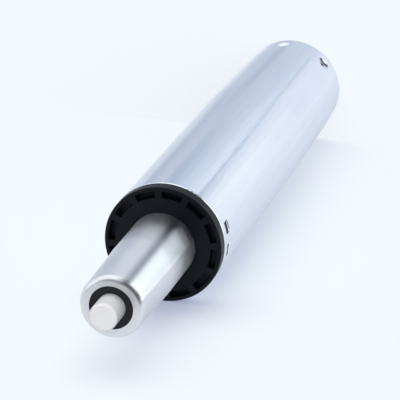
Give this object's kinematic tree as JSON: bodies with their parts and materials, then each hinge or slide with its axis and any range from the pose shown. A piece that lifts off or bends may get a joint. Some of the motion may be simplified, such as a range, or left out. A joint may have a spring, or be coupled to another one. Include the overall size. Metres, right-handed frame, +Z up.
{
  "type": "chair gas lift cylinder",
  "caption": "Chromed chair gas lift with a tapered base column, ribbed plastic guide bush, tapered inner column and release button; it lifts, swivels and locks.",
  "frame": {"origin": "centre of the bottom rim of the outer column", "axes": "+Z up the column towards the seat, -Y towards the side that the picture shows, +X to its right"},
  "size_m": [0.05, 0.05, 0.2855],
  "materials": {
    "chrome": "polished chrome plating",
    "ground_steel": "ground, satin",
    "bright_steel": "drawn and polished",
    "plated_steel": "zinc plated",
    "black_plastic": "fine matte",
    "white_plastic": "smooth moulded",
    "bearing_plastic": "natural acetal",
    "brass": "turned",
    "rubber": "matte"
  },
  "bodies": {
    "column": {"outer_column": "chrome", "bottom_plate": "plated_steel", "guide_bush": "black_plastic", "lower_race": "bright_steel"},
    "rod": {"piston_rod": "bright_steel", "piston": "plated_steel", "piston_ring": "rubber", "piston_washer": "plated_steel", "bumper": "rubber", "thrust_washer": "plated_steel", "upper_race": "bright_steel", "clip_washer": "plated_steel", "retaining_clip": "plated_steel"},
    "cage": {"ball_cage": "bearing_plastic", "bearing_balls": "bright_steel"},
    "lift": {"inner_column": "ground_steel", "gas_cylinder": "bright_steel", "valve_cap": "black_plastic", "valve_body": "brass", "valve_body_rings": "rubber", "pin_ring": "rubber", "rod_guide": "bearing_plastic", "rod_seal": "rubber", "cylinder_support": "bearing_plastic", "backing_washer": "plated_steel"},
    "release": {"release_button": "white_plastic", "release_pin": "bright_steel", "seat_ring": "rubber"}
  },
  "joints": [
    {"name": "swivel", "type": "hinge", "parent": "column", "child": "rod", "pos_m": [0, 0, 0.0135], "axis": [0, 0, 1], "continuous": true},
    {"name": "cage_roll", "type": "hinge", "parent": "column", "child": "cage", "pos_m": [0, 0, 0.0135], "axis": [0, 0, 1], "continuous": true},
    {"name": "lift", "type": "slide", "parent": "rod", "child": "lift", "axis": [0, 0, 1], "range_m": [0, 0.1]},
    {"name": "release_press", "type": "slide", "parent": "lift", "child": "release", "axis": [0, 0, 1], "range_m": [-0.004, 0], "stiffness_N_per_m": 2000, "springref_m": 0.01}
  ],
  "couplings": [
    {"joint": "cage_roll", "follows": "swivel", "ratio": 0.5}
  ]
}
